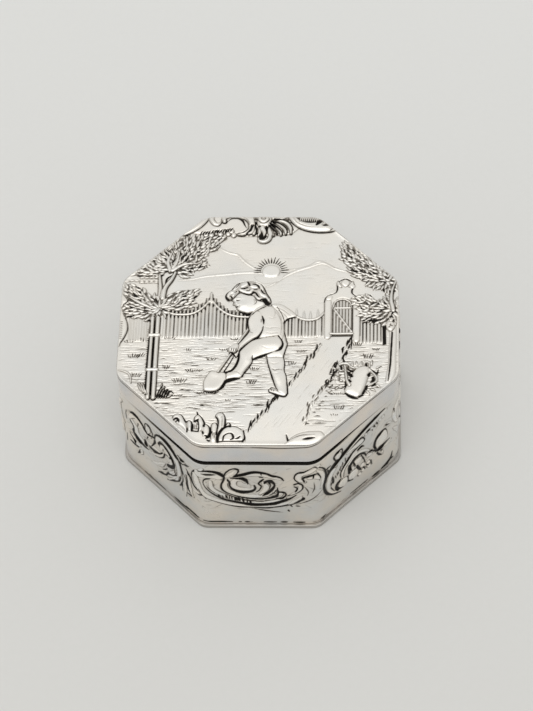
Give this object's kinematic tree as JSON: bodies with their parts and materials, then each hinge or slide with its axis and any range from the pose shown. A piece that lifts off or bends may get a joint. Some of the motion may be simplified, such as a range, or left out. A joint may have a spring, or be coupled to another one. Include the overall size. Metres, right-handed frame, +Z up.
{
  "type": "small octagonal hinged box",
  "caption": "Small octagonal silver box: a chased lid hinged at the back, a collar that finds the lid, scrollwork round the sides and a flat base.",
  "frame": {"origin": "middle of the box's underside, where it rests", "axes": "+Z up, from the underside to the lid; the hinge is at the back, +Y; the front looks along -Y; +X to the right"},
  "size_m": [0.0458, 0.0458, 0.0246],
  "materials": {
    "chased_silver": "chased silver, blackened in the recesses and polished on the high parts",
    "polished_silver": "polished silver with fine wear",
    "hinge_silver": "filed and polished silver, a little tarnished between the knuckles"
  },
  "bodies": {
    "case": {"base_plate": "polished_silver", "case_wall": "chased_silver", "bezel": "polished_silver", "case_gutter": "hinge_silver", "case_knuckle_left": "hinge_silver", "case_knuckle_middle": "hinge_silver", "case_knuckle_right": "hinge_silver", "hinge_pin": "hinge_silver"},
    "lid": {"lid_plate": "chased_silver", "lid_band": "polished_silver", "lid_gutter": "hinge_silver", "lid_knuckle_left": "hinge_silver", "lid_knuckle_right": "hinge_silver"}
  },
  "joints": [
    {"name": "lid_hinge", "type": "hinge", "parent": "case", "child": "lid", "pos_m": [0, 0.0217, 0.0193], "axis": [-1, 0, 0], "range_deg": [0, 105]}
  ]
}
